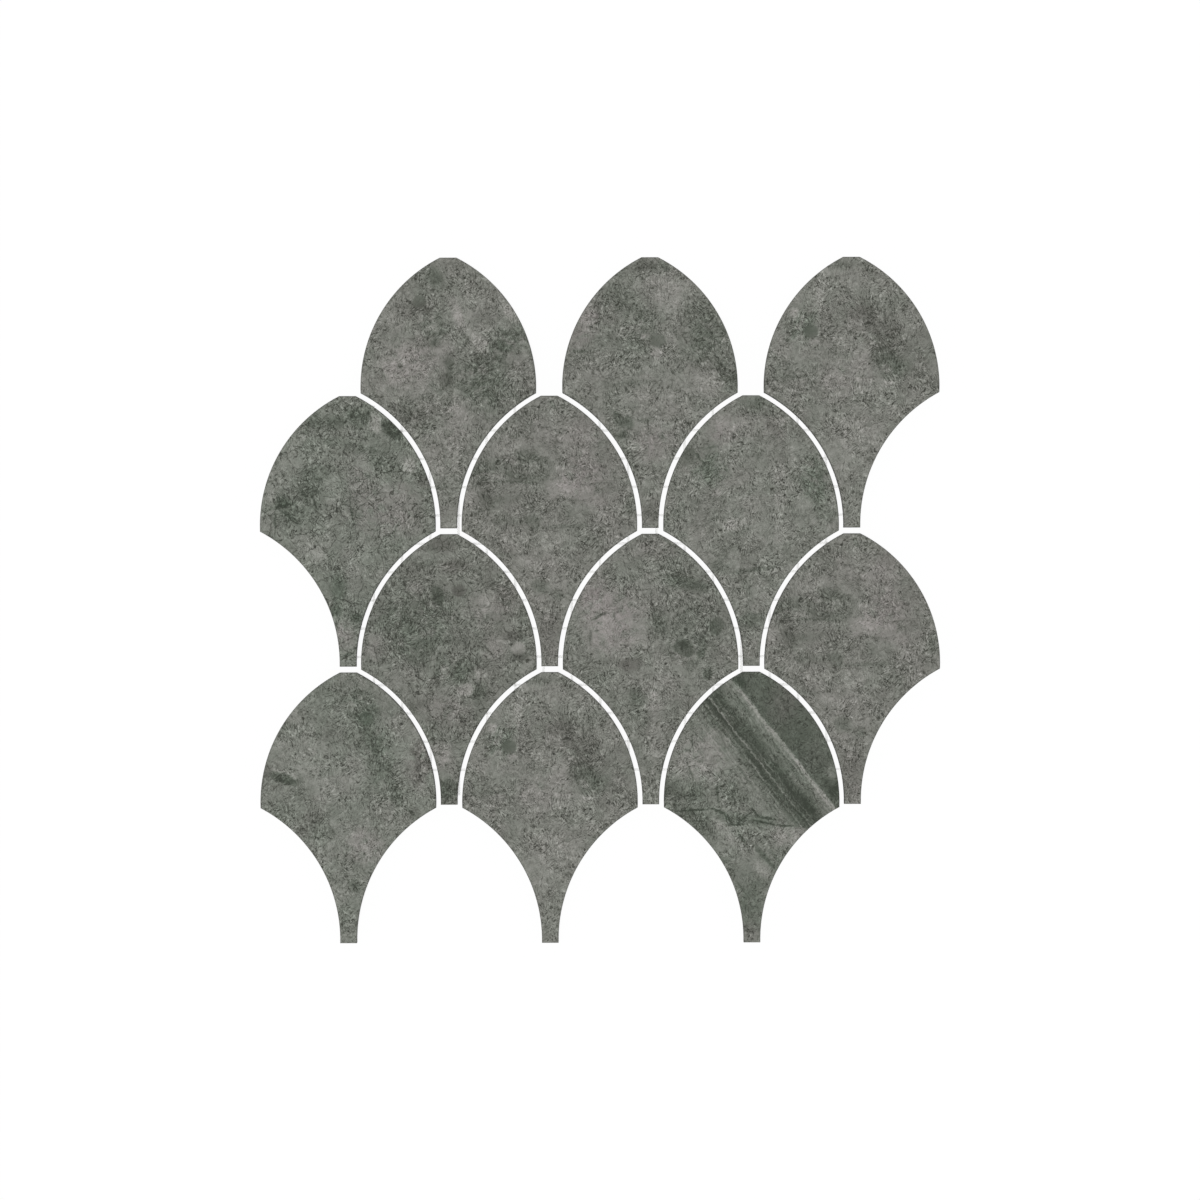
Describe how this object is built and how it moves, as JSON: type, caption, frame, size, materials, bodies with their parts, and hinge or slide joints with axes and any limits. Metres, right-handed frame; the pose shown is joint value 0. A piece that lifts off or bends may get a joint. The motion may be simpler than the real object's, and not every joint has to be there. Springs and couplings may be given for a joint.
{
  "type": "fish scale mosaic tile",
  "caption": "Net-backed mosaic sheet of fan-shaped porcelain scales that nest in staggered rows with even grout joints, grey stone-look face, for cladding walls and floors.",
  "frame": {"origin": "bottom centre of the sheet, on the underside of the backing net", "axes": "+X to the right seen from the face, +Y towards the crowns, +Z out of the face"},
  "size_m": [0.3, 0.3024, 0.0095],
  "materials": {
    "porcelain": "matte porcelain with a grey-green stone-look print on the face",
    "net": "white glass-fibre net"
  },
  "bodies": {
    "root": {"scale_row1_left": "porcelain", "scale_row1_middle": "porcelain", "scale_row1_right": "porcelain", "scale_row2_left": "porcelain", "scale_row2_middle": "porcelain", "scale_row2_right": "porcelain", "scale_row3_left": "porcelain", "scale_row3_middle": "porcelain", "scale_row3_right": "porcelain", "scale_row4_left": "porcelain", "scale_row4_middle": "porcelain", "scale_row4_right": "porcelain", "backing_net": "net"}
  },
  "joints": []
}
